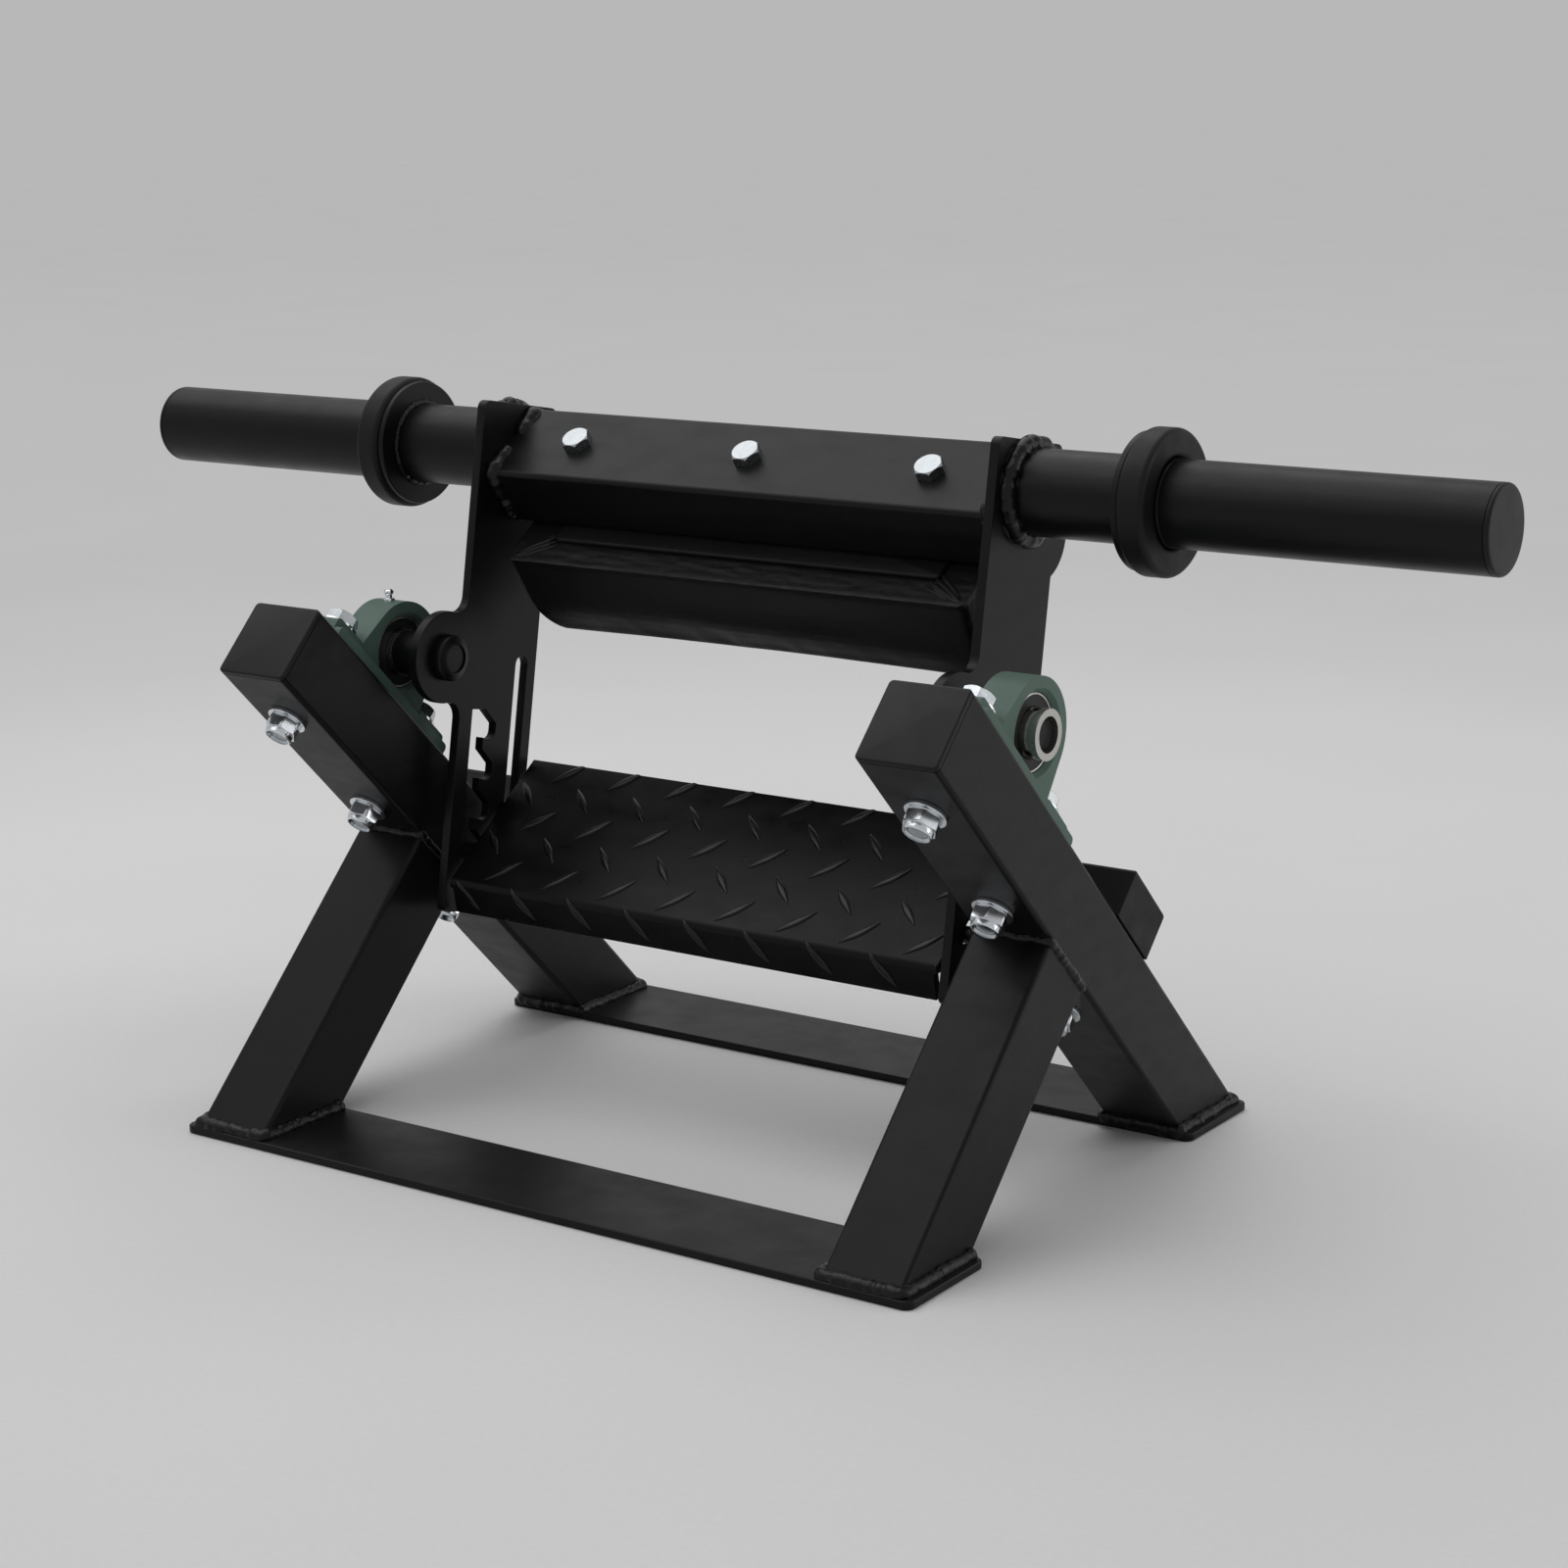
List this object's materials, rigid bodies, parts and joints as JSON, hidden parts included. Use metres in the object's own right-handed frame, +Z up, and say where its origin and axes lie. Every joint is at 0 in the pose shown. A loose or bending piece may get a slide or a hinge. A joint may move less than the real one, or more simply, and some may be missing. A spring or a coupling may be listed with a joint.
{
  "type": "seated calf trainer",
  "caption": "Plate-loaded lower-leg trainer: a swinging frame with weight sleeves, foot pad and hook-slot footplate hangs in pillow-block bearings on a welded base.",
  "frame": {"origin": "middle of the base at floor level, where the two foot bars' box has its bottom centre", "axes": "+X across the machine to the user's right when seen from the front, +Y from the user's side to the rear, +Z up"},
  "size_m": [0.924, 0.38, 0.4262],
  "materials": {
    "black_powder_coat": "satin black powder coat with a fine grain",
    "black_plastic": "fine-grained black plastic",
    "green_cast_iron": "dark green paint over rough casting",
    "bearing_steel": "ground bearing steel",
    "cage_brass": "pressed cage",
    "seal_rubber": "black seal",
    "zinc": "bright zinc plating",
    "dark_screw_steel": "blackened screws",
    "black_rubber": "matte moulded rubber",
    "board_wood": "plywood wrapped in black vinyl",
    "black_vinyl": "soft grained vinyl"
  },
  "bodies": {
    "base": {"foot_bar_front": "black_powder_coat", "foot_bar_rear": "black_powder_coat", "long_leg_left": "black_powder_coat", "long_leg_right": "black_powder_coat", "short_leg_left": "black_powder_coat", "short_leg_right": "black_powder_coat", "leg_cap_left": "black_plastic", "leg_cap_right": "black_plastic", "bearing_housing_left": "green_cast_iron", "bearing_housing_right": "green_cast_iron", "bearing_outer_ring_left": "bearing_steel", "bearing_outer_ring_right": "bearing_steel", "bearing_balls_left": "bearing_steel", "bearing_balls_right": "bearing_steel", "bearing_cage_left": "cage_brass", "bearing_cage_right": "cage_brass", "bearing_seals_left": "seal_rubber", "bearing_seals_right": "seal_rubber", "grease_nipples": "zinc", "housing_bolts": "zinc", "housing_washers": "zinc", "housing_nuts": "zinc", "bumper_left": "black_rubber", "bumper_right": "black_rubber", "bumper_studs": "zinc", "bumper_washers": "zinc", "bumper_nuts": "zinc"},
    "swing_frame": {"side_plate_left": "black_powder_coat", "side_plate_right": "black_powder_coat", "cross_tube": "black_powder_coat", "weight_sleeve_left": "black_powder_coat", "weight_sleeve_right": "black_powder_coat", "sleeve_cap_left": "black_plastic", "sleeve_cap_right": "black_plastic", "collar_disc_left": "black_powder_coat", "collar_disc_right": "black_powder_coat", "collar_ring_left": "black_rubber", "collar_ring_right": "black_rubber", "axle_left": "black_powder_coat", "axle_right": "black_powder_coat", "axle_spacer_left": "black_powder_coat", "axle_spacer_right": "black_powder_coat", "bearing_inner_ring_left": "bearing_steel", "bearing_inner_ring_right": "bearing_steel", "bearing_set_screws": "dark_screw_steel", "pad_board": "board_wood", "pad_cushion": "black_vinyl", "pad_bolts": "zinc", "pad_tee_nuts": "zinc"},
    "footplate": {"tread_plate": "black_powder_coat", "front_rod": "black_powder_coat", "rear_rod": "black_powder_coat"}
  },
  "joints": [
    {"name": "swing", "type": "hinge", "parent": "base", "child": "swing_frame", "pos_m": [0, -0.02802, 0.26861], "axis": [1, 0, 0], "range_deg": [-93, 110]},
    {"name": "footplate_tilt", "type": "hinge", "parent": "swing_frame", "child": "footplate", "pos_m": [0, 0.02675, 0.16355], "axis": [1, 0, 0], "range_deg": [-10, 0]}
  ]
}
